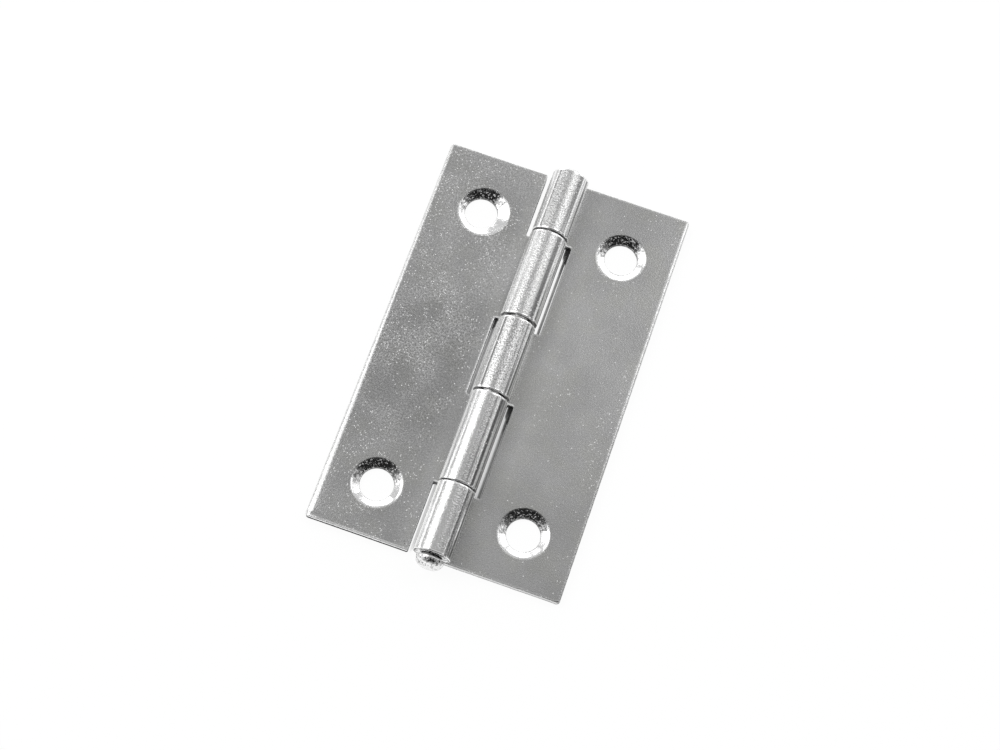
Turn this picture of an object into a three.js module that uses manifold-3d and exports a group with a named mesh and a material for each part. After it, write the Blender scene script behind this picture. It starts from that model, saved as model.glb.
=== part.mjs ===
// A small steel butt hinge, lying open flat on its back.
// Each leaf is pressed from sheet, and its tongues are rolled into knuckles round one pin.
// Frame: X across the leaves, Y along the pin, Z up. The backs of the leaves lie at Z = 0.
// All sizes are in millimetres.

import * as THREE from 'three';
import { mergeVertices } from 'three/addons/utils/BufferGeometryUtils.js';
import Module from 'manifold-3d';

const wasm = await Module();
wasm.setup();

// Leaves
const HINGE_LENGTH = 50;
const LEAF_REACH = 15.3; // from the pin's axis to a leaf's free edge
const SHEET = 1;
const FREE_CORNER_RADIUS = 0.4;
const EDGE_ROLL = 0.35; // rounding that the shear leaves along a free edge

// Knuckles, from the upper end to the lower end: the right leaf has every other one
const KNUCKLE_SHARES = [0.168, 0.232, 0.196, 0.232, 0.172]; // of the hinge's length
const KNUCKLE_GAPS = [0.24, 0.32, 0.24, 0.2]; // between each knuckle and the next
const SEAM_GAP = 0.12; // between the rolled sheet's end and the leaf it comes down on
const NOTCH_CLEARANCE = 0.6; // between a knuckle and the edge of the other leaf's notch
const NOTCH_CORNER_RADIUS = 0.2;

// Pin
const PIN_RADIUS = 1.2;
const PIN_CLEARANCE = 0.05;
const BUTTON_GAP = 0.3; // between the lower head, a domed button, and the last knuckle
const BUTTON_SPREAD = 0.45; // past the pin's own radius
const BUTTON_LENGTH = 1.25;
const BUTTON_ROUND = 1;
const BUTTON_CROWN = 0.08;
const UPSET_GAP = 0.05; // between the upper, upset head and the first knuckle
const UPSET_SPREAD = 0.2;
const UPSET_LENGTH = 0.5;
const UPSET_ROUND = 0.35;

// Screw holes
const HOLE_FROM_FREE_EDGE = 6.4;
const HOLE_FROM_UPPER_END = 7.4;
const HOLE_FROM_LOWER_END = 6.3;
const HOLE_RADIUS = 2;
const COUNTERSINK_RADIUS = 3;
const HOLE_LAND = 0.4; // straight wall left under the countersink

const OVERRUN = 1; // how far a cutter runs past what it cuts

// Smoothness, in steps
const ROLL_STEPS = 30;
const CORNER_STEPS = 3;
const HOLE_STEPS = 48;
const PIN_STEPS = 48;
const ROUND_STEPS = 8;

// Sizes that follow from those above
const BORE_RADIUS = PIN_RADIUS + PIN_CLEARANCE;
const KNUCKLE_RADIUS = BORE_RADIUS + SHEET;
const AXIS_HEIGHT = KNUCKLE_RADIUS; // the roll's underside is flush with the leaf's back
const NOTCH_EDGE = KNUCKLE_RADIUS + NOTCH_CLEARANCE;
const BUTTON_RADIUS = PIN_RADIUS + BUTTON_SPREAD;
const UPSET_RADIUS = PIN_RADIUS + UPSET_SPREAD;
const UPPER_END = HINGE_LENGTH / 2;
const LOWER_END = -UPPER_END;
const HOLE_PLACES = [UPPER_END - HOLE_FROM_UPPER_END, LOWER_END + HOLE_FROM_LOWER_END];
const BUTTON_TIP = BUTTON_GAP + BUTTON_LENGTH;
const UPSET_TIP = UPSET_GAP + UPSET_LENGTH;
const MIDDLE_SHIFT = (BUTTON_TIP - UPSET_TIP) / 2; // puts the whole hinge's middle at Y = 0

function toSolid(geometry) {
  const bare = geometry.clone();
  bare.deleteAttribute('normal');
  bare.deleteAttribute('uv');
  const merged = mergeVertices(bare);
  const corners = merged.index.array;
  const triangles = [];
  for (let i = 0; i < corners.length; i += 3) {
    const [a, b, c] = corners.subarray(i, i + 3);
    if (a !== b && b !== c && c !== a) triangles.push(a, b, c);
  }
  return new wasm.Manifold(new wasm.Mesh({
    numProp: 3,
    vertProperties: new Float32Array(merged.attributes.position.array),
    triVerts: new Uint32Array(triangles),
  }));
}

function toGeometry(solid) {
  const mesh = solid.getMesh();
  const geometry = new THREE.BufferGeometry();
  geometry.setAttribute('position', new THREE.BufferAttribute(mesh.vertProperties, 3));
  geometry.setIndex(new THREE.BufferAttribute(mesh.triVerts, 1));
  geometry.computeVertexNormals();
  return geometry;
}

function extrude(shape, depth, steps) {
  return new THREE.ExtrudeGeometry(shape, { depth, bevelEnabled: false, curveSegments: steps });
}

// Where each knuckle starts and ends along the pin, and which leaf has it.
function knuckleSpans() {
  const spans = [];
  let top = UPPER_END;
  KNUCKLE_SHARES.forEach((share, i) => {
    const bottom = top - share * HINGE_LENGTH;
    const gapAbove = i > 0 ? KNUCKLE_GAPS[i - 1] : 0;
    const gapBelow = i < KNUCKLE_GAPS.length ? KNUCKLE_GAPS[i] : 0;
    spans.push({ high: top - gapAbove / 2, low: bottom + gapBelow / 2, right: i % 2 === 0 });
    top = bottom;
  });
  return spans;
}

// Cross-section of a leaf that reaches towards +X: flat sheet with a rounded free edge, which
// runs under the pin, up its far side, over it, and down to a seam on the leaf's own face.
function rolledSection() {
  const seamAngle = Math.asin((SHEET + SEAM_GAP - AXIS_HEIGHT) / KNUCKLE_RADIUS);
  const underPin = -Math.PI / 2;
  const fullTurn = 2 * Math.PI;
  const rollAcross = LEAF_REACH - EDGE_ROLL;
  const rollUp = SHEET - EDGE_ROLL;
  const section = new THREE.Shape();
  section.moveTo(LEAF_REACH, 0);
  section.lineTo(LEAF_REACH, rollUp);
  section.absarc(rollAcross, rollUp, EDGE_ROLL, 0, Math.PI / 2, false);
  section.lineTo(0, SHEET);
  section.absarc(0, AXIS_HEIGHT, BORE_RADIUS, underPin, seamAngle - fullTurn, true);
  section.absarc(0, AXIS_HEIGHT, KNUCKLE_RADIUS, seamAngle - fullTurn, underPin, false);
  section.lineTo(LEAF_REACH, 0);
  return section;
}

// Draws an outline of right-angled corners, each rounded by its own radius.
function roundedOutline(corners) {
  const shape = new THREE.Shape();
  corners.forEach(({ at, radius }, i) => {
    const before = corners[(i + corners.length - 1) % corners.length].at;
    const after = corners[(i + 1) % corners.length].at;
    const inward = before.clone().sub(at).normalize().multiplyScalar(radius);
    const outward = after.clone().sub(at).normalize().multiplyScalar(radius);
    const start = at.clone().add(inward);
    const end = at.clone().add(outward);
    if (i === 0) shape.moveTo(start.x, start.y);
    else shape.lineTo(start.x, start.y);
    if (radius > 0) {
      const centre = start.clone().add(outward);
      const from = start.clone().sub(centre).angle();
      const to = end.clone().sub(centre).angle();
      shape.absarc(centre.x, centre.y, radius, from, to, inward.cross(outward) > 0);
    }
  });
  return shape;
}

// Plan of a leaf that reaches towards +X: its free edge, and a tongue for each of its knuckles,
// with notches between them for the other leaf's.
function leafPlan(knuckles) {
  const tongueEnd = -KNUCKLE_RADIUS - OVERRUN;
  const corners = [];
  const corner = (x, y, radius) => corners.push({ at: new THREE.Vector2(x, y), radius });
  if (knuckles[0].high < UPPER_END) corner(NOTCH_EDGE, UPPER_END, 0);
  for (const { high, low } of knuckles) {
    if (high < UPPER_END) corner(NOTCH_EDGE, high, NOTCH_CORNER_RADIUS);
    corner(tongueEnd, high, 0);
    corner(tongueEnd, low, 0);
    if (low > LOWER_END) corner(NOTCH_EDGE, low, NOTCH_CORNER_RADIUS);
  }
  if (knuckles.at(-1).low > LOWER_END) corner(NOTCH_EDGE, LOWER_END, 0);
  corner(LEAF_REACH, LOWER_END, FREE_CORNER_RADIUS);
  corner(LEAF_REACH, UPPER_END, FREE_CORNER_RADIUS);
  return roundedOutline(corners);
}

function countersunkCutter(x, y) {
  const flare = (COUNTERSINK_RADIUS - HOLE_RADIUS) / (SHEET - HOLE_LAND);
  const profile = [
    new THREE.Vector2(0, -OVERRUN),
    new THREE.Vector2(HOLE_RADIUS, -OVERRUN),
    new THREE.Vector2(HOLE_RADIUS, HOLE_LAND),
    new THREE.Vector2(COUNTERSINK_RADIUS + flare * OVERRUN, SHEET + OVERRUN),
    new THREE.Vector2(0, SHEET + OVERRUN),
  ];
  const cutter = new THREE.LatheGeometry(profile, HOLE_STEPS);
  cutter.rotateX(Math.PI / 2);
  cutter.translate(x, y, 0);
  return toSolid(cutter);
}

// A leaf that reaches towards +X: the rolled sheet, cut to the leaf's plan and drilled.
function leafSolid(knuckles, holePlaces) {
  const rolled = extrude(rolledSection(), HINGE_LENGTH, ROLL_STEPS);
  rolled.rotateX(Math.PI / 2);
  rolled.translate(0, UPPER_END, 0);
  const plan = extrude(leafPlan(knuckles), 2 * (AXIS_HEIGHT + OVERRUN), CORNER_STEPS);
  plan.translate(0, 0, -OVERRUN);
  let leaf = toSolid(rolled).intersect(toSolid(plan));
  for (const y of holePlaces) {
    leaf = leaf.subtract(countersunkCutter(LEAF_REACH - HOLE_FROM_FREE_EDGE, y));
  }
  return leaf;
}

function rightLeafGeometry() {
  const knuckles = knuckleSpans().filter((span) => span.right);
  return toGeometry(leafSolid(knuckles, HOLE_PLACES));
}

// The left leaf is a leaf turned half a turn about Z, so its places along the pin are turned
// before it is made.
function leftLeafGeometry() {
  const knuckles = knuckleSpans()
    .filter((span) => !span.right)
    .map(({ high, low }) => ({ high: -low, low: -high }))
    .reverse();
  const leaf = toGeometry(leafSolid(knuckles, HOLE_PLACES.map((y) => -y)));
  leaf.rotateZ(Math.PI);
  return leaf;
}

// The pin's profile, from the domed button at the lower end to the upset upper end.
function pinProfile() {
  const points = [];
  const roundOff = (radius, round, y, from, to) => {
    for (let i = 0; i <= ROUND_STEPS; i += 1) {
      const angle = THREE.MathUtils.lerp(from, to, i / ROUND_STEPS);
      points.push(new THREE.Vector2(
        radius - round + round * Math.cos(angle),
        y + round * Math.sin(angle),
      ));
    }
  };
  points.push(new THREE.Vector2(0, LOWER_END - BUTTON_TIP));
  roundOff(
    BUTTON_RADIUS,
    BUTTON_ROUND,
    LOWER_END - BUTTON_TIP + BUTTON_CROWN + BUTTON_ROUND,
    -Math.PI / 2,
    0,
  );
  points.push(new THREE.Vector2(BUTTON_RADIUS, LOWER_END - BUTTON_GAP));
  points.push(new THREE.Vector2(PIN_RADIUS, LOWER_END - BUTTON_GAP));
  points.push(new THREE.Vector2(PIN_RADIUS, UPPER_END + UPSET_GAP));
  points.push(new THREE.Vector2(UPSET_RADIUS, UPPER_END + UPSET_GAP));
  roundOff(UPSET_RADIUS, UPSET_ROUND, UPPER_END + UPSET_TIP - UPSET_ROUND, 0, Math.PI / 2);
  points.push(new THREE.Vector2(0, UPPER_END + UPSET_TIP));
  return points;
}

function pinGeometry() {
  const pin = toGeometry(toSolid(new THREE.LatheGeometry(pinProfile(), PIN_STEPS)));
  pin.translate(0, 0, AXIS_HEIGHT);
  return pin;
}

function zincPlate(color, roughness) {
  return new THREE.MeshStandardMaterial({ color, roughness, metalness: 1 });
}

function namedMesh(name, geometry, material) {
  const mesh = new THREE.Mesh(geometry, material);
  mesh.name = name;
  return mesh;
}

const hinge = new THREE.Group();
hinge.position.y = MIDDLE_SHIFT;
hinge.add(
  namedMesh('left_leaf', leftLeafGeometry(), zincPlate(0x9b9c99, 0.38)),
  namedMesh('right_leaf', rightLeafGeometry(), zincPlate(0x9d9f9b, 0.38)),
  namedMesh('hinge_pin', pinGeometry(), zincPlate(0xb4b5b2, 0.3)),
);

export default hinge;
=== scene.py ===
"""A small zinc-plated butt hinge, lying open on a white table in soft studio light."""

import math
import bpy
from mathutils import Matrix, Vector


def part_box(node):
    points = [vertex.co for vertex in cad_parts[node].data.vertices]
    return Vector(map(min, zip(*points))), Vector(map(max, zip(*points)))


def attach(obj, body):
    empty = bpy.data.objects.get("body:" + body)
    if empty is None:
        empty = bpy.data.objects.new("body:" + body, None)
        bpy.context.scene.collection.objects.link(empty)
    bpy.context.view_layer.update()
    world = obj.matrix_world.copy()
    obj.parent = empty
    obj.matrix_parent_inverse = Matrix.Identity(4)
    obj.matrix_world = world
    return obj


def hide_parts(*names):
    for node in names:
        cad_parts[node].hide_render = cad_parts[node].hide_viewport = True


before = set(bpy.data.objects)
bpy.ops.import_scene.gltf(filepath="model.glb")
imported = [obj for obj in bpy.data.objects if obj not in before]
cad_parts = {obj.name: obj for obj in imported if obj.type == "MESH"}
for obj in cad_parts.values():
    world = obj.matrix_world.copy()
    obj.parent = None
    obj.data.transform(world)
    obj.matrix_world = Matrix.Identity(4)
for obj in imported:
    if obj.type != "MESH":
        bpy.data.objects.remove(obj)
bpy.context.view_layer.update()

from types import SimpleNamespace

import bmesh
import bpy
import numpy as np
from mathutils import Matrix, Vector, noise
from mathutils.geometry import delaunay_2d_cdt

# The pieces are worked out in millimetres and made in metres
MM = 0.001
leaf_low, leaf_high = (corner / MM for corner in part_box("right_leaf"))
pin_low, pin_high = (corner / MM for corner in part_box("hinge_pin"))

# The sides of the pin, by the sign of x
LEFT = -1
RIGHT = 1

# Leaves
REACH = leaf_high.x
UPPER_END = leaf_high.y
LOWER_END = leaf_low.y
LENGTH = UPPER_END - LOWER_END
BARREL_RADIUS = leaf_high.z / 2
AXIS_HEIGHT = BARREL_RADIUS
SHEET = 1.0
BORE_RADIUS = BARREL_RADIUS - SHEET
FREE_CORNER_RADIUS = 0.4
NOTCH_EDGE = BARREL_RADIUS + 0.6
NOTCH_CORNER_RADIUS = 0.2
TONGUE_CORNER_RADIUS = 0.15
KNUCKLE_SHARES = [0.168, 0.232, 0.196, 0.232, 0.172]
KNUCKLE_GAPS = [0.2, 0.32, 0.24, 0.14]

# The rolled part of a tongue is bent about the pin, by the sheet's middle
SEAM_GAP = 0.12
BEND_RADIUS = (BARREL_RADIUS + BORE_RADIUS) / 2
SEAM_ANGLE = math.asin((SHEET + SEAM_GAP - AXIS_HEIGHT) / BARREL_RADIUS)
TONGUE_LENGTH = (1.5 * math.pi - SEAM_ANGLE) * BEND_RADIUS

# Screw holes
HOLE_FROM_FREE_EDGE = 6.4
HOLE_FROM_UPPER_END = 7.4
HOLE_FROM_LOWER_END = 6.3
HOLE_RADIUS = 2.0
SINK_RADIUS = 3.0
HOLE_LAND = 0.4
HOLE_RIM = 3.7  # where the rings round a hole meet the leaf's face
STRAY_SINK = Vector((-0.33, 0.03))  # how far the left leaf's upper countersink is off its hole
STRAY_SINK_RADIUS = 1.04 * SINK_RADIUS

# Rings of the mesh round a hole: out from the countersink's rim and down at its soft edge, shares
# of its cone, down the straight wall from the cone, and out and up at the back
SINK_EDGE = [(0.25, 0.0), (0.12, 0.0), (0.05, 0.004), (0.01, 0.016), (-0.03, 0.045)]
CONE_SHARES = [0.1, 0.3, 0.5, 0.7, 0.9, 0.97]
LAND_DROPS = [0.03, 0.15]
LAND_END = 0.1
BACK_RIM = [(0.0, 0.03), (0.03, 0.005), (0.1, 0.0)]
BACK_RING_SHARE = 0.4

# Painted shade in the countersinks: it lies on their upper side, a little left
SINK_SHADE_TURN = math.radians(18)
SINK_SHADE_SPREAD = (-0.4, 0.9)
SINK_SHADE = 0.85
SINK_EDGE_WEAR = 0.3

# Sheared edges: how far in from the edge each line of the mesh runs, and how far down the wall
EDGE_BAND = 0.8
EDGE_INSETS = [0.66, 0.52, 0.4, 0.3, 0.2, 0.13, 0.08, 0.045, 0.02, 0.005, 0.0]
WALL_INSET = 0.01  # lines nearer to the edge than this belong to the wall
WALL_SHARES = [0.05, 0.3, 0.6, 0.76, 0.84, 0.95]
TORN_FROM = 0.8  # the wall is burnished down to here, and torn below

# Raggedness of the edges: depth and length of its waves
RAGGED_DEPTH = 0.02
RAGGED_LENGTH = 0.6
RAGGED_SEED = 9
TEAR_DEPTH = 0.02
TEAR_LENGTH = 0.25

# Width and depth of the edges' rounding, on the face and then on the back
PLAIN_ROUND = (0.15, 0.08)
LOWER_ROUND = (0.04, 0.03)
NOTCH_ROUND = (0.14, 0.04)
TONGUE_ROUND = (0.1, 0.08)
FREE_ROUND_DEPTH = {LEFT: 0.34, RIGHT: 0.2}
BACK_ROUND = (0.06, 0.04)
BACK_TONGUE_ROUND = (0.14, 0.1)
TONGUE_ROUND_SHARE = 0.3  # the tongue's rounding is full from this share of the notch's depth

# Worn rim of the free edges: its width, and how much it has gained at the lower end
FREE_RIM = {LEFT: 0.42, RIGHT: 0.28}
FREE_RIM_GAIN = {LEFT: 0.6, RIGHT: 0.0}
FREE_EDGE_SPAN = (REACH - 1, REACH - 0.5)

# Width of the bands of wear. A pair of pairs is a level at one place and at another
PLAIN_BAND = 0.3
NOTCH_BAND = 0.24
LEFT_FREE_BAND = 1.1  # in widths of the rim
RIGHT_FREE_BAND = (-15, 0.3), (5, 0.5)

# Painted highlight on the bands of wear: how light they are made, from 0 to 1
LEFT_FREE_SHINE = 0.35
RIGHT_FREE_SHINE = (-16, 0.1), (8, 0.4)
RIGHT_TOP_SHINE = (12, 0.0), (20, 0.2)
UPPER_SHINE = 0.25
LEFT_LOWER_SHINE = (0.0, 0.65), (0.05, 1.0)  # by how far down the wall it is
RIGHT_LOWER_SHINE = 0.2
LEFT_NOTCH_SHINE = 0.9
RIGHT_NOTCH_SHINES = (0.3, 0.15)  # the upper notch and the lower one
SHINE_SPREAD = (0.0, 0.4)

# Painted shade on the walls of the edges, from 0 to 1: in the gaps at the knuckles, at the foot of
# the left leaf's lower wall and at the barrel's lower end
MIDDLE_GAP_WALL_SHADE = 0.75
GAP_WALL_SHADE = 0.55
LOW_WALL_SHADE = 1.5
LOW_WALL_FROM = 0.4
KNUCKLE_END_SHADE = 0.45

# Unevenness of the faces, and the size of its waves
WAVE_DEPTH = 0.006
FACE_WAVE = 3.0
ROLL_WAVE = 0.8
ROLL_WAVE_LENGTH = 7.0
BACK_SEED = 5

# Pin
PIN_RADIUS = 1.2
BUTTON_GAP = 0.3
BUTTON_ROUND = 1.0
BUTTON_CROWN = 0.08
UPSET_GAP = 0.05
UPSET_RADIUS = 1.4
UPSET_ROUND = 0.35
SOFT_EDGE = 0.05
# The button's painted highlight, its painted glints, the painted dark reflection on its top and
# the painted shade under it
BUTTON_HIGHLIGHT = 0.8
BUTTON_GLINTS = 0.6
BUTTON_DARK_REFLECTION = 0.4
UNDERSIDE_SHADE = 0.45

# Mesh steps
ROLL_STEP = math.radians(3.5) * BEND_RADIUS
FACE_STEP = 0.9
TONGUE_STEP = 0.45
ARC_STEPS = 6
HOLE_STEPS = 96
PIN_STEPS = 96
ROUND_STEPS = 10
FINEST = 0.01
MERGED = 1e-6
PLACE_DIGITS = 4


def mix(a, b, share):
    return a + (b - a) * share


def mix_pairs(first, second, share):
    return tuple(mix(a, b, share) for a, b in zip(first, second))


def smooth(value, low, high):
    share = min(max((value - low) / (high - low), 0.0), 1.0)
    return share * share * (3 - 2 * share)


def change(value, start, stop):
    """Goes smoothly from one pair of place and level to another."""
    return mix(start[1], stop[1], smooth(value, start[0], stop[0]))


def waver(u, y, seed):
    """Smooth noise, mostly between -1 and 1."""
    return noise.noise(Vector((u, y, seed)))


def knuckle_spans(outermost):
    """The knuckles of the leaf that has the outermost ones, or of the other, from the top down.

    Each is given as (high, low) along the pin.
    """
    spans = []
    top = UPPER_END
    for i, share in enumerate(KNUCKLE_SHARES):
        bottom = top - share * LENGTH
        above = KNUCKLE_GAPS[i - 1] / 2 if i > 0 else 0
        below = KNUCKLE_GAPS[i] / 2 if i < len(KNUCKLE_GAPS) else 0
        if (i % 2 == 0) == outermost:
            spans.append((top - above, bottom + below))
        top = bottom
    return spans


KNUCKLES = {LEFT: knuckle_spans(False), RIGHT: knuckle_spans(True)}


def blank_corners(knuckles):
    """Corners of the flat blank, as (place, radius), anticlockwise. Tongues point to -u."""
    corners = []

    def corner(u, y, radius):
        corners.append((Vector((u, y)), radius))

    corner(REACH, LOWER_END, FREE_CORNER_RADIUS)
    corner(REACH, UPPER_END, FREE_CORNER_RADIUS)
    if knuckles[0][0] < UPPER_END:
        corner(NOTCH_EDGE, UPPER_END, NOTCH_CORNER_RADIUS)
    for high, low in knuckles:
        if high < UPPER_END:
            corner(NOTCH_EDGE, high, NOTCH_CORNER_RADIUS)
        corner(-TONGUE_LENGTH, high, TONGUE_CORNER_RADIUS)
        corner(-TONGUE_LENGTH, low, TONGUE_CORNER_RADIUS)
        if low > LOWER_END:
            corner(NOTCH_EDGE, low, NOTCH_CORNER_RADIUS)
    if knuckles[-1][1] > LOWER_END:
        corner(NOTCH_EDGE, LOWER_END, NOTCH_CORNER_RADIUS)
    return corners


def cross_lines():
    """Where lines run across the blank, parallel to the pin."""
    lines = []
    for start, stop, step in (
        (-TONGUE_LENGTH, 0, ROLL_STEP),
        (0, NOTCH_EDGE, TONGUE_STEP),
        (NOTCH_EDGE, REACH, FACE_STEP),
    ):
        count = round((stop - start) / step)
        lines += [mix(start, stop, i / count) for i in range(count)]
    return lines


def ring(corners, inset, lines):
    """The blank's outline, inset by some distance. Every inset gives as many points."""
    points = []
    for i, (place, radius) in enumerate(corners):
        before = corners[i - 1][0]
        after, next_radius = corners[(i + 1) % len(corners)]
        inward = (place - before).normalized()
        outward = (after - place).normalized()
        if inward.cross(outward) > 0:
            turn_radius = max(radius - inset, FINEST)
            shift = inset + turn_radius
        else:
            turn_radius = radius + inset
            shift = radius
        centre = place + (outward - inward) * shift
        for k in range(ARC_STEPS + 1):
            turn = math.pi / 2 * k / ARC_STEPS
            arm = inward * math.sin(turn) - outward * math.cos(turn)
            points.append(centre + turn_radius * arm)
        start = points[-1]
        if abs(outward.x) > abs(outward.y):
            low = min(place.x, after.x) + EDGE_BAND + NOTCH_CORNER_RADIUS
            high = max(place.x, after.x) - EDGE_BAND - NOTCH_CORNER_RADIUS
            crossing = sorted((u for u in lines if low < u < high), reverse=outward.x < 0)
            points += [Vector((u, start.y)) for u in crossing]
        else:
            count = max(2, round(abs(after.y - place.y) / TONGUE_STEP))
            end_y = after.y - outward.y * next_radius
            points += [Vector((start.x, mix(start.y, end_y, k / count))) for k in range(1, count)]
    return points


def within(outline, points):
    """Whether each point lies inside a closed outline."""
    ends = np.array(outline)
    starts = np.roll(ends, 1, axis=0)
    x, y = np.array(points).T[:, :, None]
    crossed = (ends[:, 1] > y) != (starts[:, 1] > y)
    rise = np.where(ends[:, 1] == starts[:, 1], 1, starts[:, 1] - ends[:, 1])
    edge_x = (starts[:, 0] - ends[:, 0]) * (y - ends[:, 1]) / rise + ends[:, 0]
    return (crossed & (x < edge_x)).sum(axis=1) % 2 == 1


def bend(u, y, w, side):
    """Rolls a point of the flat blank, u from the pin and w above the back, into its place."""
    x, z = u, w
    if u < 0:
        angle = -u / BEND_RADIUS
        x = -(BARREL_RADIUS - w) * math.sin(angle)
        z = BARREL_RADIUS - (BARREL_RADIUS - w) * math.cos(angle)
    return Vector((side * x, y, z)) * MM


def rounded_drop(inset, form):
    """How far an edge's rounding has come down from the face, at some inset from the edge."""
    width, depth = form
    share = max(0.0, (width - inset) / width)
    return depth * (1 - math.sqrt(1 - share * share))


def facing(component):
    """How much an edge faces one way, from that component of its outward direction."""
    return smooth(component, 0.3, 0.9)


def on_free_edge(place, outward):
    """Whether a place of the outline is on the leaf's free edge, from 0 to 1."""
    return facing(abs(outward.x)) * smooth(place.x, *FREE_EDGE_SPAN)


def free_rim(place, side):
    """Width of the worn rim along a leaf's free edge."""
    up = (place.y - LOWER_END) / LENGTH
    return FREE_RIM[side] + FREE_RIM_GAIN[side] * (1 - up) ** 2


def edge_forms(place, outward, side):
    """Width and depth of the rounding on the upper and lower side of the blank's edge."""
    on_tongue = 1 - smooth(place.x, TONGUE_ROUND_SHARE * NOTCH_EDGE, NOTCH_EDGE)
    free = on_free_edge(place, outward)
    notched = facing(abs(outward.x)) * (1 - free) * (1 - on_tongue)
    upper = mix_pairs(PLAIN_ROUND, LOWER_ROUND, facing(-outward.y))
    upper = mix_pairs(upper, (free_rim(place, side), FREE_ROUND_DEPTH[side]), free)
    upper = mix_pairs(upper, NOTCH_ROUND, notched)
    upper = mix_pairs(upper, TONGUE_ROUND, on_tongue)
    return upper, mix_pairs(BACK_ROUND, BACK_TONGUE_ROUND, on_tongue)


def sink_profile(sink_radius):
    """A countersunk hole's section from the face down, as (radius, depth, share of cone)."""
    cone_depth = SHEET - HOLE_LAND
    profile = [(sink_radius + out, down, 0.0) for out, down in SINK_EDGE]
    for share in CONE_SHARES:
        profile.append((mix(sink_radius, HOLE_RADIUS, share), cone_depth * share, 1.0))
    profile += [(HOLE_RADIUS, cone_depth + drop, 1.0) for drop in LAND_DROPS]
    profile.append((HOLE_RADIUS, SHEET - LAND_END, 1.0))
    profile += [(HOLE_RADIUS + out, SHEET - up, 0.0) for out, up in BACK_RIM]
    profile.append((mix(HOLE_RADIUS, HOLE_RIM, BACK_RING_SHARE), SHEET, 0.0))
    return profile


class Surface:
    """Collects the points and faces of a piece, and some marks that its material reads."""

    # Marks: wear, torn wall, rolled part, painted highlight on the worn bands, painted shade and
    # painted glints
    MARKS = ("wear", "torn", "rolled", "bright", "grime", "scratched")

    def __init__(self):
        self.points = []
        self.faces = []
        self.marks = {mark: [] for mark in self.MARKS}

    def add(self, point, **marks):
        self.points.append(point)
        for mark in self.MARKS:
            self.marks[mark].append(marks.get(mark, 0.0))
        return len(self.points) - 1

    def join_loops(self, first, second):
        """Faces between two closed loops of as many points."""
        count = len(first)
        for i in range(count):
            j = (i + 1) % count
            corners = (first[i], first[j], second[j], second[i])
            self.faces.append(tuple(dict.fromkeys(corners)))

    def make(self, name):
        mesh = bpy.data.meshes.new(name)
        mesh.from_pydata(self.points, [], self.faces)
        for mark, values in self.marks.items():
            mesh.attributes.new(mark, "FLOAT", "POINT").data.foreach_set("value", values)
        work = bmesh.new()
        work.from_mesh(mesh)
        bmesh.ops.recalc_face_normals(work, faces=work.faces)
        work.to_mesh(mesh)
        work.free()
        mesh.shade_smooth()
        piece = bpy.data.objects.new(name, mesh)
        bpy.context.scene.collection.objects.link(piece)
        return piece


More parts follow.
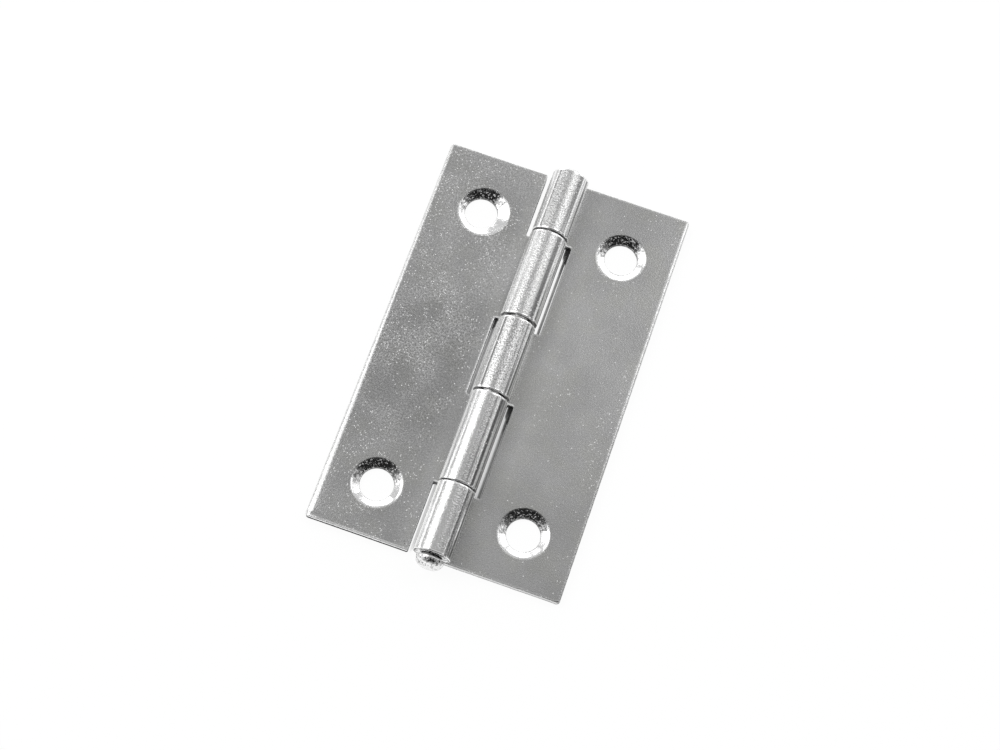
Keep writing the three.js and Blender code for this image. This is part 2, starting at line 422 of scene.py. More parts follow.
class Leaf(Surface):
    """A leaf: a flat blank with sheared edges and countersunk holes, rolled into knuckles."""

    def __init__(self, side, seed, sinks):
        """Each sink is how far the countersink is off its hole, and its radius."""
        super().__init__()
        self.side = side
        self.seed = seed
        self.knuckles = KNUCKLES[side]
        self.lines = cross_lines()
        corners = blank_corners(self.knuckles)
        self.outer = ring(corners, 0, self.lines)
        self.inner = ring(corners, EDGE_BAND, self.lines)
        places = (UPPER_END - HOLE_FROM_UPPER_END, LOWER_END + HOLE_FROM_LOWER_END)
        self.holes = [Vector((REACH - HOLE_FROM_FREE_EDGE, y)) for y in places]
        self.flat = list(self.inner)
        self.loops = [list(range(len(self.inner)))]
        for hole in self.holes:
            self.loops.append(self.circle(hole, HOLE_RIM))
        self.lay_faces()
        self.turn_edge()
        for hole, sink, loop in zip(self.holes, sinks, self.loops[1:]):
            self.sink_hole(hole, sink, loop)

    def wave(self, u, y, under=False):
        """How far the face, or the back, lies below its even plane."""
        seed = self.seed + BACK_SEED * under
        if u < 0:
            return WAVE_DEPTH * (1 + waver(u / ROLL_WAVE, y / ROLL_WAVE_LENGTH, seed))
        return WAVE_DEPTH * (1 + waver(u / FACE_WAVE, y / FACE_WAVE, seed))

    def put(self, u, y, w, **marks):
        rolled = smooth(-u, 0.0, SHEET)
        return self.add(bend(u, y, w, self.side), **{"rolled": rolled, **marks})

    def circle(self, middle, radius):
        start = len(self.flat)
        for k in range(HOLE_STEPS):
            turn = 2 * math.pi * k / HOLE_STEPS
            self.flat.append(middle + radius * Vector((math.cos(turn), math.sin(turn))))
        return list(range(start, len(self.flat)))

    def tongue_edges(self):
        """Lines across each tongue, so that it rolls in even steps."""

        def rounded(u, y):
            return round(u, PLACE_DIGITS), round(y, PLACE_DIGITS)

        found = {rounded(p.x, p.y): i for i, p in enumerate(self.inner)}
        edges = []
        for high, low in self.knuckles:
            top, bottom = high - EDGE_BAND, low + EDGE_BAND
            count = round((top - bottom) / TONGUE_STEP)
            for u in self.lines:
                ends = [found.get(rounded(u, y)) for y in (top, bottom)]
                if None in ends or u > NOTCH_EDGE:
                    continue
                start = len(self.flat)
                self.flat += [Vector((u, mix(top, bottom, k / count))) for k in range(1, count)]
                chain = [ends[0], *range(start, len(self.flat)), ends[1]]
                edges += list(zip(chain, chain[1:]))
        return edges

    def spread_points(self):
        """Points inside the leaf's flat face."""
        rows = round(LENGTH / FACE_STEP)
        clear = FACE_STEP / 3
        margin = EDGE_BAND + clear
        for u in self.lines:
            if not NOTCH_EDGE + margin < u < REACH - margin:
                continue
            for k in range(1, rows):
                place = Vector((u, mix(LOWER_END, UPPER_END, k / rows)))
                if all((place - hole).length > HOLE_RIM + clear for hole in self.holes):
                    self.flat.append(place)

    def lay_faces(self):
        """The face and the back, as triangles between the inner ring and the holes' rims."""
        edges = [(loop[i - 1], loop[i]) for loop in self.loops for i in range(len(loop))]
        edges += self.tongue_edges()
        self.spread_points()
        _, _, made, origins, *_ = delaunay_2d_cdt(self.flat, edges, [], 0, MERGED, True)
        triangles = [tuple(origins[i][0] for i in face) for face in made]
        middles = [sum((self.flat[i] for i in face), Vector((0, 0))) / 3 for face in triangles]
        kept = within(self.inner, middles)
        for loop in self.loops[1:]:
            kept &= ~within([self.flat[i] for i in loop], middles)
        self.top = [self.put(p.x, p.y, SHEET - self.wave(p.x, p.y)) for p in self.flat]
        self.back = [self.put(p.x, p.y, self.wave(p.x, p.y, True)) for p in self.flat]
        for (a, b, c), keep in zip(triangles, kept):
            if keep:
                self.faces.append((self.top[a], self.top[b], self.top[c]))
                self.faces.append((self.back[c], self.back[b], self.back[a]))

    def notch_shine(self, y):
        """How strong the painted highlight on the rim beside each knuckle of the other leaf is."""
        if self.side == RIGHT:
            return RIGHT_NOTCH_SHINES[0 if y > 0 else 1]
        return LEFT_NOTCH_SHINE if abs(y) < UPPER_END / 2 else 0.0

    def edge_marks(self, outer, outward, inset, depth):
        """Wear, painted highlight and painted shade of the edge, at some inset from it and share
        of its wall down.
        """
        free = on_free_edge(outer, outward)
        flat = smooth(outer.x, 0, NOTCH_EDGE)
        notched = facing(abs(outward.x)) * flat * (1 - free)
        upper = facing(outward.y) * flat
        lower = facing(-outward.y) * float(outer.y < LOWER_END + SHEET / 2)
        in_gap = smooth(outer.x, -SHEET, 0) * (1 - flat) * (1 - lower)

        if self.side == LEFT:
            free_shine = LEFT_FREE_SHINE
            free_band = LEFT_FREE_BAND * free_rim(outer, self.side)
            lower_shine = change(depth, *LEFT_LOWER_SHINE)
        else:
            free_shine = change(outer.y, *RIGHT_FREE_SHINE) + change(outer.y, *RIGHT_TOP_SHINE)
            free_band = change(outer.y, *RIGHT_FREE_BAND)
            lower_shine = mix(RIGHT_LOWER_SHINE, 1.0, depth)
        band = mix(mix(PLAIN_BAND, free_band, free), NOTCH_BAND, notched)
        wear = max(0.0, 1 - inset / band)
        shine = mix(mix(1.0, free_shine, free), self.notch_shine(outer.y), notched)
        shine = mix(mix(shine, UPPER_SHINE, upper), lower_shine, lower * flat)

        # Painted shade on the walls in the gaps at the knuckles, at the foot of the left leaf's
        # lower wall and at the barrel's lower end
        grime = 0.0
        if inset < WALL_INSET:
            middle = self.side == LEFT and abs(outer.y) < UPPER_END / 2
            grime = in_gap * (MIDDLE_GAP_WALL_SHADE if middle else GAP_WALL_SHADE)
            if self.side == LEFT and depth > LOW_WALL_FROM:
                grime = max(grime, lower * flat * LOW_WALL_SHADE)
            grime = max(grime, lower * (1 - flat) * KNUCKLE_END_SHADE)
        # The worn band's light base colour is a painted highlight
        return {"wear": wear, "bright": smooth(wear, *SHINE_SPREAD) * shine, "grime": grime}

    def turn_edge(self):
        """The sheared edge: rounded at the face, burnished, torn, and down to the back."""
        pairs = list(zip(self.outer, self.inner))

        def ragged(place, length, seed):
            return 1 + waver(place.x / length, place.y / length, seed)

        def loop(inset, height_of, depth=0.0, torn=0.0):
            indices = []
            for outer, inner in pairs:
                rough = RAGGED_DEPTH * ragged(outer, RAGGED_LENGTH, self.seed + RAGGED_SEED)
                rough += torn * TEAR_DEPTH * ragged(outer, TEAR_LENGTH, self.seed)
                share = min((inset + rough * (1 - inset / EDGE_BAND)) / EDGE_BAND, 1.0)
                place = outer.lerp(inner, share)
                outward = (outer - inner).normalized()
                height = height_of(outer, outward, inset)
                marks = self.edge_marks(outer, outward, inset, depth)
                indices.append(self.put(place.x, place.y, height, torn=torn, **marks))
            return indices

        def face_height(place, outward, inset):
            drop = rounded_drop(inset, edge_forms(place, outward, self.side)[0])
            return SHEET - self.wave(place.x, place.y) - drop

        def back_height(place, outward, inset):
            rise = rounded_drop(inset, edge_forms(place, outward, self.side)[1])
            return self.wave(place.x, place.y, True) + rise

        def wall_height(share):
            return lambda *where: mix(face_height(*where), back_height(*where), share)

        rings = [[self.top[i] for i in self.loops[0]]]
        rings += [loop(inset, face_height) for inset in EDGE_INSETS]
        for share in WALL_SHARES:
            rings.append(loop(0.0, wall_height(share), share, float(share > TORN_FROM)))
        rings += [loop(inset, back_height, 1.0) for inset in reversed(EDGE_INSETS)]
        rings.append([self.back[i] for i in self.loops[0]])
        for first, second in zip(rings, rings[1:]):
            self.join_loops(first, second)

    def sink_marks(self, turn, cone):
        """Painted highlight and painted shade of a countersink, at some turn about its hole."""
        true_turn = math.atan2(math.sin(turn), self.side * math.cos(turn))
        # Painted shade on the cone's upper side with painted glints in it; the cone's light base
        # colour is a painted highlight
        sink_shaded = cone * smooth(math.sin(true_turn - SINK_SHADE_TURN), *SINK_SHADE_SPREAD)
        marks = {"wear": mix(SINK_EDGE_WEAR, 1, cone), "rolled": cone, "bright": cone}
        return {**marks, "grime": SINK_SHADE * sink_shaded, "scratched": sink_shaded}

    def sink_hole(self, hole, sink, rim):
        """A countersunk hole. Its cone may lie a little off the hole's middle."""
        drift, sink_radius = sink
        last = [self.top[i] for i in rim]
        for radius, depth, cone in sink_profile(sink_radius):
            off = drift * smooth(radius, HOLE_RADIUS, sink_radius)
            off = off * (1 - smooth(radius, sink_radius, HOLE_RIM))
            now = []
            for k in range(HOLE_STEPS):
                turn = 2 * math.pi * k / HOLE_STEPS
                u = hole.x + off.x + radius * math.cos(turn)
                y = hole.y + off.y + radius * math.sin(turn)
                wave = self.wave(u, y) * (1 - depth / SHEET)
                lift = self.wave(u, y, True) * depth / SHEET
                height = SHEET - depth - wave + lift
                now.append(self.put(u, y, height, **self.sink_marks(turn, cone)))
            self.join_loops(last, now)
            last = now
        self.join_loops(last, [self.back[i] for i in rim])


def quarter(radius, round_radius, tip, way):
    """Points from a round's flat end out to its full radius, as (radius, place along)."""
    points = []
    for k in range(ROUND_STEPS + 1):
        turn = math.pi / 2 * k / ROUND_STEPS
        out = radius - round_radius + round_radius * math.sin(turn)
        points.append((out, tip + way * round_radius * (1 - math.cos(turn))))
    return points


def pin_marks(turn, dome, lean):
    """Marks of the pin: dome is 1 on the button, and lean is how far out on it a point is. The
    button gets a painted highlight, a painted dark reflection with painted glints on top, and
    painted shade underneath.
    """
    up = math.cos(turn) * lean
    # Painted dark reflection with painted glints on the button's top, and painted shade on its
    # underside
    scribbled = smooth(up, -0.2, 0.3) * smooth(lean, 0.2, 0.6)
    underside = smooth(-up - 0.25 * (1 - lean), -0.05, 0.1)
    grime = dome * max(BUTTON_DARK_REFLECTION * scribbled, UNDERSIDE_SHADE * underside)
    scratched = BUTTON_GLINTS * dome * smooth(up, -0.3, 0.1)
    marks = {"rolled": 1.0, "wear": dome, "bright": BUTTON_HIGHLIGHT * dome}
    return {**marks, "grime": grime, "scratched": scratched}


def pin_surface():
    """The pin, turned about its own axis: a domed button below, a low upset head above."""
    button = (pin_high.x - pin_low.x) / 2
    button_seat = LOWER_END - BUTTON_GAP
    upset_seat = UPPER_END + UPSET_GAP
    profile = [(0.0, pin_low.y)]
    profile += quarter(button, BUTTON_ROUND, pin_low.y + BUTTON_CROWN, 1)
    profile += [
        (button, button_seat - 2 * SOFT_EDGE),
        (button - SOFT_EDGE / 3, button_seat - SOFT_EDGE / 3),
        (button - SOFT_EDGE, button_seat),
        (PIN_RADIUS + SOFT_EDGE, button_seat),
        (PIN_RADIUS, button_seat + SOFT_EDGE),
        (PIN_RADIUS, upset_seat - SOFT_EDGE),
        (PIN_RADIUS + SOFT_EDGE, upset_seat),
        (UPSET_RADIUS - SOFT_EDGE / 3, upset_seat),
    ]
    profile += reversed(quarter(UPSET_RADIUS, UPSET_ROUND, pin_high.y, -1))
    profile.append((0.0, pin_high.y))
    surface = Surface()
    last = None
    for radius, y in profile:
        dome = smooth(button_seat - y, 0.0, 0.3)
        now = []
        for k in range(PIN_STEPS if radius > 0 else 1):
            turn = 2 * math.pi * k / PIN_STEPS
            place = Vector((radius * math.sin(turn), y, AXIS_HEIGHT + radius * math.cos(turn)))
            now.append(surface.add(place * MM, **pin_marks(turn, dome, radius / button)))
        now *= PIN_STEPS // len(now)
        if last is not None:
            surface.join_loops(last, now)
        last = now
    return surface


# Painted reflections: light and dark lines along each knuckle, from the top one down: angle and
# half width in degrees, and the share and level of their grey
REFLECTED_DARK = 0.15
REFLECTED_LIGHT = 1.0
KNUCKLE_REFLECTIONS = [
    [(-37, 3, 0.75, REFLECTED_DARK), (-25, 10, 0.36, REFLECTED_DARK), (33, 5, 0.55, REFLECTED_DARK), (48, 4, 0.7, REFLECTED_LIGHT)],
    [(-40, 8, 0.2, REFLECTED_DARK), (-30, 5, 0.12, REFLECTED_DARK), (37.5, 8, 0.8, REFLECTED_DARK), (50, 4, 0.8, REFLECTED_LIGHT)],
    [(-37.5, 4, 0.85, REFLECTED_DARK)],
    [(-60, 7, 0.9, REFLECTED_LIGHT), (14, 7, 0.5, REFLECTED_DARK), (24, 3, 0.55, REFLECTED_DARK), (46.5, 5, 0.9, REFLECTED_DARK),
     (88, 8, 0.95, REFLECTED_DARK)],
    [(-63, 8, 0.8, REFLECTED_LIGHT), (-37, 3, 0.5, REFLECTED_DARK), (16, 8, 0.15, REFLECTED_DARK), (47, 5, 0.6, REFLECTED_DARK),
     (88, 8, 0.45, REFLECTED_DARK)],
]
KNUCKLE_REFLECTION_SOFT = 0.1

# Painted reflections as fine lines along the barrel's flanks. A flank starts and is full at shares
# of the radius
REFLECTION_LINES_PER_DEGREE = math.radians(6.5)
REFLECTION_LINES_PER_MM = 0.05
REFLECTION_LINE_RANGE = (0.43, 0.56)
FLANK_SPAN = (0.4, 0.75)
FLANKS_MEET = (-1, 0.0), (1, 1.0)
LEFT_FLANK = 0.7
RIGHT_FLANK = 0.85
LEFT_LINE_GREY = 0.5
RIGHT_LINE_GREY = 0.2
LOWEST_LINE_GREY = 0.95
LOWEST_LINES = (-15, 0.0), (-17, 1.0)

# The plate's patterns: sizes, detail and roughness, and ranges of their values
GRAIN_SIZE = 0.2
MOTTLE_SIZE = 0.16
SPECK_SIZE = 0.19
SPECK_PATCH_SIZE = 5.0
CLUMP_SIZE = 4.0
TINT_SIZE = 2.5
CLOUD_SIZE = 6.0
BLOTCH_SIZE = 0.32
SCRIBBLE_SIZE = 0.24
FINE = (2.0, 0.6)
BLOTCHY = (1.5, 0.6)
CLOUDY = (4.0, 0.55)
NOISE_RANGE = (0.3, 0.7)
GRAIN_RANGE = (0.35, 0.65)
TINT_RANGE = (0.4, 0.65)
PIT_RANGE = (0.52, 0.42)
SCRIBBLE_RANGE = (0.43, 0.5)

# How strong some patterns are, and the levels of the painted shade mark at which painted shade
# starts and is full
CLOUD_MOST = 0.2
COARSE_LEAST = 0.35
ROLLED_SHARE = 0.5
UNRUBBED_PITS = 0.4
TORN_MOST = 0.6
BLOTCH_MOST = 0.55
PAINTED_SHADE_RANGE = (0.08, 0.3)
PAINTED_SHADE_HIDES = 0.16

# Tones of the two finishes, and greys in shares of them
LEAF_TONE = 0.43
PIN_TONE = 0.5
DARK_SHARE = 0.75
LIGHT_SHARE = 1.35
CLOUD_SHARE = 0.45
SPARKLE_SHARE = 1.4
TORN_SHARE = 0.5
YELLOW = 0.025

# Greys of the marks on the plate, painted highlight and painted shade among them
ROLLED_GREY = 0.92
PIT_GREY = 0.2
PAINTED_HIGHLIGHT_GREY = 0.93
SPECK_GREY = 0.97
PAINTED_SHADE_GREY = 0.06
ROLLED_PAINTED_SHADE_GREY = 0.3
# Light scribbles: painted glints in the painted shade
SCRIBBLE_GREY = 0.95

# Roughness, each on the grain's lows and highs or as one value
FLAT_ROUGH = (0.22, 0.34)
ROLLED_ROUGH = (0.08, 0.16)
WORN_ROUGH = 0.7
SCRIBBLE_ROUGH = 0.6

# Strength of the fine unevenness, and its distance
FLAT_BUMP = 0.7
ROLLED_BUMP = 1.4
RUBBED_BUMP = 2.2
WEAR_BUMP = 0.3
SHINE_SMOOTHS = 0.8
BUMP_DISTANCE = 0.03

# The plate's tone, from 0, dark, to 1, light, with painted light and shade in it. A pair of pairs
# is a level at one place and another
PLAIN_TONE = 0.42
# Painted light: the right leaf is lighter about its middle, with a painted shadow beside the
# barrel
RIGHT_TONE = (2.5, 0.42), (15, 0.22)
RIGHT_MIDDLE = 2
RIGHT_FROM_MIDDLE = (8, 1.0), (22, 0.3)
RIGHT_LEAST = 0.15
RIGHT_START = (1, 0.0), (2.5, 1.0)
RIGHT_BARREL_SHADOW = (2.8, 0.25), (5.5, 1.0)
# A darker patch about the middle of the left leaf
DARK_PATCH_MIDDLE = -3
DARK_PATCH_FROM_MIDDLE = (4, 0.42), (14, 0.0)
LEFT_LEAF = (-2.8, 1.0), (-2.3, 0.0)
# Painted light beside the barrel on the left leaf
LEFT_BARREL_LIGHT = (-5, 0.0), (-3.2, 0.3)

# How thick the specks lie, how coarse the grain is and how rubbed the barrel
SPECKS_ACROSS = [((-4, 0.14), (4, -0.12)), ((10, 0.0), (15, 0.14))]
SPECKS_ALONG = [((-20, 0.0), (-24, 0.06)), ((-2, 0.03), (-14, -0.05))]
SPECKS_BY_WEAR = 0.4
SPECK_LIMIT = (0.4, 0.85, 0.994, 0.8)  # two degrees of wear, and the lots to beat there
SPECK_DOT = (0.2, 0.5, 1.0, 0.0)  # from a cell's middle out
COARSE_ACROSS = (-5, 1.0), (5, 0.12)
COARSE_ALONG = (-16, 0.5), (-6, 1.0)
RUBBED_ALONG = (-6, 0.0), (-1, 1.0)
THIRD_KNUCKLE = 0.5
PITS_FROM_THIRD = (4, 0.7), (7, 0.35)


class Nodes:
    """Adds and links shader nodes in few words."""

    def __init__(self, owner):
        owner.use_nodes = True
        self.tree = owner.node_tree
        self.tree.nodes.clear()

    def join(self, node, inputs):
        for key, value in inputs.items():
            if isinstance(value, bpy.types.NodeSocket):
                self.tree.links.new(value, node.inputs[key])
            else:
                node.inputs[key].default_value = value

    def add(self, kind, inputs=None, **settings):
        node = self.tree.nodes.new(kind)
        for key, value in settings.items():
            setattr(node, key, value)
        self.join(node, inputs or {})
        return node

    def math(self, operation, a, b=0.0):
        return self.add("ShaderNodeMath", {0: a, 1: b}, operation=operation).outputs[0]

    def sum(self, first, *others):
        for other in others:
            first = self.math("ADD", first, other)
        return first

    def product(self, first, *others):
        for other in others:
            first = self.math("MULTIPLY", first, other)
        return first

    def distance(self, a, b):
        """How far two numbers are apart."""
        return self.math("ABSOLUTE", self.math("SUBTRACT", a, b))

    def spread(self, value, low, high, to_low=0.0, to_high=1.0):
        """Goes smoothly from one level to another while a number goes from low to high."""
        ends = {"From Min": low, "From Max": high, "To Min": to_low, "To Max": to_high}
        settings = {"interpolation_type": "SMOOTHSTEP"}
        return self.add("ShaderNodeMapRange", {"Value": value, **ends}, **settings).outputs[0]

    def change(self, place, start, stop):
        """Goes smoothly from one pair of place, in millimetres, and level to another."""
        return self.spread(place, start[0] * MM, stop[0] * MM, start[1], stop[1])

    def fade(self, share, level):
        """Goes smoothly from 1, where a share is 0, to some level, where it is 1."""
        return self.spread(share, 0.0, 1.0, 1.0, level)

    def blend(self, share, a, b):
        """Blends two colours."""
        node = self.add("ShaderNodeMix", data_type="RGBA")
        self.join(node, {0: share, 6: a, 7: b})
        return node.outputs[2]

    def between(self, share, a, b):
        """Blends two numbers."""
        node = self.add("ShaderNodeMix", data_type="FLOAT")
        self.join(node, {0: share, 2: a, 3: b})
        return node.outputs[0]

    def noise(self, place, size, detail=2.0, roughness=0.5):
        inputs = {"Vector": place, "Scale": 1 / (size * MM), "Detail": detail}
        inputs["Roughness"] = roughness
        return self.add("ShaderNodeTexNoise", inputs).outputs[0]

    def mark(self, name):
        return self.add("ShaderNodeAttribute", attribute_name=name).outputs["Fac"]


def grey(level, yellow=0.0):
    return (level, level, level * (1 - yellow), 1.0)


class Place:
    """Where a point of the hinge lies, as sockets in metres."""

    def __init__(self, nodes):
        self.point = nodes.add("ShaderNodeTexCoord").outputs["Object"]
        self.x, self.y, self.z = nodes.add("ShaderNodeSeparateXYZ", {0: self.point}).outputs


def scattered_specks(nodes, place, wear):
    """A lot is drawn for each small cell, and few win: more of them where the plate is worn."""
    patches = nodes.noise(place.point, SPECK_PATCH_SIZE)
    inputs = {"Vector": place.point, "Scale": 1 / (SPECK_SIZE * MM)}
    cells = nodes.add("ShaderNodeTexVoronoi", inputs).outputs
    lot = nodes.add("ShaderNodeSeparateColor", {0: cells["Color"]}).outputs[0]
    across = [nodes.change(place.x, *pairs) for pairs in SPECKS_ACROSS]
    along = [nodes.change(place.y, *pairs) for pairs in SPECKS_ALONG]
    worn = nodes.sum(patches, nodes.product(wear, SPECKS_BY_WEAR), *across, *along)
    limit = nodes.spread(worn, *SPECK_LIMIT)
    dot = nodes.spread(cells["Distance"], *SPECK_DOT)
    return nodes.product(nodes.math("GREATER_THAN", lot, limit), dot)


def leaf_tone_and_painted_light(nodes, place, tone):
    """The plate's grey with painted light: lighter over the middle of the right leaf with a
    painted shadow beside the barrel there, painted light beside the barrel on the left leaf, and
    darker in the middle of the left leaf.
    """
    from_middle = nodes.distance(place.y, RIGHT_MIDDLE * MM)
    # Painted light over the right leaf, with a painted shadow beside the barrel
    right = nodes.product(
        nodes.change(place.x, *RIGHT_TONE), nodes.change(from_middle, *RIGHT_FROM_MIDDLE))
    right = nodes.product(
        nodes.sum(right, RIGHT_LEAST),
        nodes.change(place.x, *RIGHT_START), nodes.change(place.x, *RIGHT_BARREL_SHADOW))
    on_left = nodes.change(place.x, *LEFT_LEAF)
    # A darker patch on the left leaf
    from_dark_patch = nodes.distance(place.y, DARK_PATCH_MIDDLE * MM)
    dark_patch = nodes.product(nodes.change(from_dark_patch, *DARK_PATCH_FROM_MIDDLE), on_left)
    # Painted light beside the barrel on the left leaf
    beside = nodes.product(nodes.change(place.x, *LEFT_BARREL_LIGHT), on_left)
    share = nodes.sum(nodes.math("SUBTRACT", right, dark_patch), beside, PLAIN_TONE)
    tint = nodes.spread(nodes.noise(place.point, TINT_SIZE, 1.0), *TINT_RANGE)
    dark, light = (
        nodes.blend(tint, grey(tone * part), grey(tone * part, YELLOW))
        for part in (DARK_SHARE, LIGHT_SHARE)
    )
    clouds = nodes.noise(place.point, CLOUD_SIZE, *CLOUDY)
    cloud = nodes.spread(clouds, *NOISE_RANGE, 0.0, CLOUD_MOST)
    return nodes.blend(cloud, nodes.blend(share, dark, light), grey(tone * CLOUD_SHARE))


def roll_angle(nodes, place):
    """Angle about the pin, in degrees: 0 on top of the barrel and 90 on its right."""
    height = nodes.math("SUBTRACT", place.z, AXIS_HEIGHT * MM)
    return nodes.math("DEGREES", nodes.math("ARCTAN2", place.x, height))


def paint_knuckle_reflections(nodes, place, angle, rolled, color):
    """Paints each knuckle's soft reflection lines, light and dark, over the plate's colour."""
    spans = sorted(KNUCKLES[LEFT] + KNUCKLES[RIGHT], reverse=True)
    for (high, low), lines in zip(spans, KNUCKLE_REFLECTIONS):
        below_top = nodes.change(place.y, (high + KNUCKLE_REFLECTION_SOFT, 0.0), (high, 1.0))
        above_end = nodes.change(place.y, (low - KNUCKLE_REFLECTION_SOFT, 0.0), (low, 1.0))
        on_knuckle = nodes.product(below_top, above_end, rolled)
        for middle, half_width, share, level in lines:
            off = nodes.distance(angle, middle)
            near = nodes.spread(off, 0.5 * half_width, 1.5 * half_width, share, 0.0)
            color = nodes.blend(nodes.product(near, on_knuckle), color, grey(level))
    return color


def flank_reflections(nodes, place, angle, rolled, bright):
    """Painted reflections: fine lines along the pin on the barrel's flanks, as share and colour.
    """
    around = nodes.product(angle, REFLECTION_LINES_PER_DEGREE)
    along = nodes.product(place.y, REFLECTION_LINES_PER_MM / MM)
    unrolled = nodes.add("ShaderNodeCombineXYZ", {0: around, 1: along}).outputs[0]
    inputs = {"Vector": unrolled, "Scale": 1.0, "Detail": 1.0}
    noisy = nodes.add("ShaderNodeTexNoise", inputs).outputs[0]
    start, full = (share * BARREL_RADIUS * MM for share in FLANK_SPAN)
    flank = nodes.spread(nodes.math("ABSOLUTE", place.x), start, full)
    to_right = nodes.change(place.x, *FLANKS_MEET)
    # No painted reflection lines where the painted highlight lies
    outside_highlight = nodes.math("SUBTRACT", rolled, bright)
    flank = nodes.product(flank, outside_highlight, nodes.between(to_right, LEFT_FLANK, RIGHT_FLANK))
    lowest = nodes.change(place.y, *LOWEST_LINES)
    left_dark = nodes.blend(lowest, grey(LEFT_LINE_GREY), grey(LOWEST_LINE_GREY))
    dark = nodes.blend(to_right, left_dark, grey(RIGHT_LINE_GREY))
    color = nodes.blend(nodes.spread(noisy, *REFLECTION_LINE_RANGE), dark, grey(1.0))
    return nodes.math("MAXIMUM", flank, 0.0), color


class Pattern:
    """The plate's noises, and the shares of the plate that each kind of mark takes."""

    def __init__(self, nodes, place):
        self.marks = SimpleNamespace(**{mark: nodes.mark(mark) for mark in Surface.MARKS})
        self.grain = nodes.noise(place.point, GRAIN_SIZE, *FINE)
        self.mottle = nodes.noise(place.point, MOTTLE_SIZE, *FINE)
        self.speck = scattered_specks(nodes, place, self.marks.wear)
        self.rubbed = nodes.change(place.y, *RUBBED_ALONG)

        # Painted shade, in blotches, and light scribbles painted as glints where it is thin
        grime = self.marks.grime
        blotch = nodes.noise(place.point, BLOTCH_SIZE, *BLOTCHY)
        painted_shade_share = nodes.sum(grime, nodes.spread(blotch, *NOISE_RANGE, -BLOTCH_MOST, BLOTCH_MOST))
        painted_shade_share = nodes.spread(painted_shade_share, *NOISE_RANGE)
        self.painted_shade_share = nodes.product(painted_shade_share, nodes.spread(grime, *PAINTED_SHADE_RANGE))
        scribble = nodes.noise(place.point, SCRIBBLE_SIZE, *FINE)
        scribble = nodes.math("SUBTRACT", scribble, nodes.product(grime, PAINTED_SHADE_HIDES))
        scribble = nodes.spread(scribble, *SCRIBBLE_RANGE)
        self.scribble = nodes.product(scribble, self.marks.scratched)


def plate_color(nodes, place, pattern, tone):
    """The plate's tone with its sparkle, and over it the barrel's painted reflections, painted
    highlight on worn bands, torn walls, specks and painted shade.
    """
    marks = pattern.marks
    clumps = nodes.noise(place.point, CLUMP_SIZE)
    coarse = nodes.product(
        nodes.change(place.x, *COARSE_ACROSS),
        nodes.spread(clumps, *GRAIN_RANGE, COARSE_LEAST, 1.0),
        nodes.change(place.y, *COARSE_ALONG))
    sparkle = nodes.product(nodes.spread(pattern.grain, *GRAIN_RANGE), coarse)
    color = nodes.blend(sparkle, leaf_tone_and_painted_light(nodes, place, tone), grey(tone * SPARKLE_SHARE))
    color = nodes.blend(nodes.product(marks.rolled, ROLLED_SHARE), color, grey(ROLLED_GREY))

    from_third = nodes.distance(place.y, THIRD_KNUCKLE * MM)
    pits = nodes.product(
        nodes.spread(pattern.mottle, *PIT_RANGE), marks.rolled,
        nodes.spread(pattern.rubbed, 0.0, 1.0, UNRUBBED_PITS, 1.0),
        nodes.change(from_third, *PITS_FROM_THIRD))
    color = nodes.blend(pits, color, grey(PIT_GREY))
    angle = roll_angle(nodes, place)
    # Painted reflections along the barrel's flanks and each knuckle
    flank, lines = flank_reflections(nodes, place, angle, marks.rolled, marks.bright)
    color = nodes.blend(flank, color, lines)
    color = paint_knuckle_reflections(nodes, place, angle, marks.rolled, color)

    # Painted highlight, torn walls, specks, painted shade (near black on the plate, dark grey on
    # rolled parts) and painted glints
    color = nodes.blend(marks.bright, color, grey(PAINTED_HIGHLIGHT_GREY))
    color = nodes.blend(nodes.product(marks.torn, TORN_MOST), color, grey(tone * TORN_SHARE))
    color = nodes.blend(pattern.speck, color, grey(SPECK_GREY))
    painted_shade_color = nodes.blend(marks.rolled, grey(PAINTED_SHADE_GREY), grey(ROLLED_PAINTED_SHADE_GREY))
    color = nodes.blend(pattern.painted_shade_share, color, painted_shade_color)
    return nodes.blend(pattern.scribble, color, grey(SCRIBBLE_GREY))


def plate_roughness(nodes, pattern):
    flat = nodes.spread(pattern.grain, *NOISE_RANGE, *FLAT_ROUGH)
    rolled = nodes.spread(pattern.grain, *NOISE_RANGE, *ROLLED_ROUGH)
    rough = nodes.between(pattern.marks.rolled, flat, rolled)
    worn = nodes.math("MAXIMUM", pattern.marks.torn, pattern.speck)
    rough = nodes.between(worn, rough, WORN_ROUGH)
    return nodes.between(pattern.scribble, rough, SCRIBBLE_ROUGH)


def plate_bump(nodes, pattern):
    marks = pattern.marks
    both = nodes.between(0.5, pattern.grain, pattern.mottle)
    height = nodes.between(marks.rolled, pattern.grain, both)
    rolled_depth = nodes.between(pattern.rubbed, ROLLED_BUMP, RUBBED_BUMP)
    depth = nodes.between(marks.rolled, FLAT_BUMP, rolled_depth)
    depth = nodes.sum(depth, nodes.product(marks.wear, WEAR_BUMP))
    smoothed = nodes.product(marks.rolled, marks.bright, SHINE_SMOOTHS)
    depth = nodes.product(depth, nodes.math("SUBTRACT", 1.0, smoothed))
    inputs = {"Height": height, "Strength": depth, "Distance": BUMP_DISTANCE * MM}
    return nodes.add("ShaderNodeBump", inputs).outputs[0]


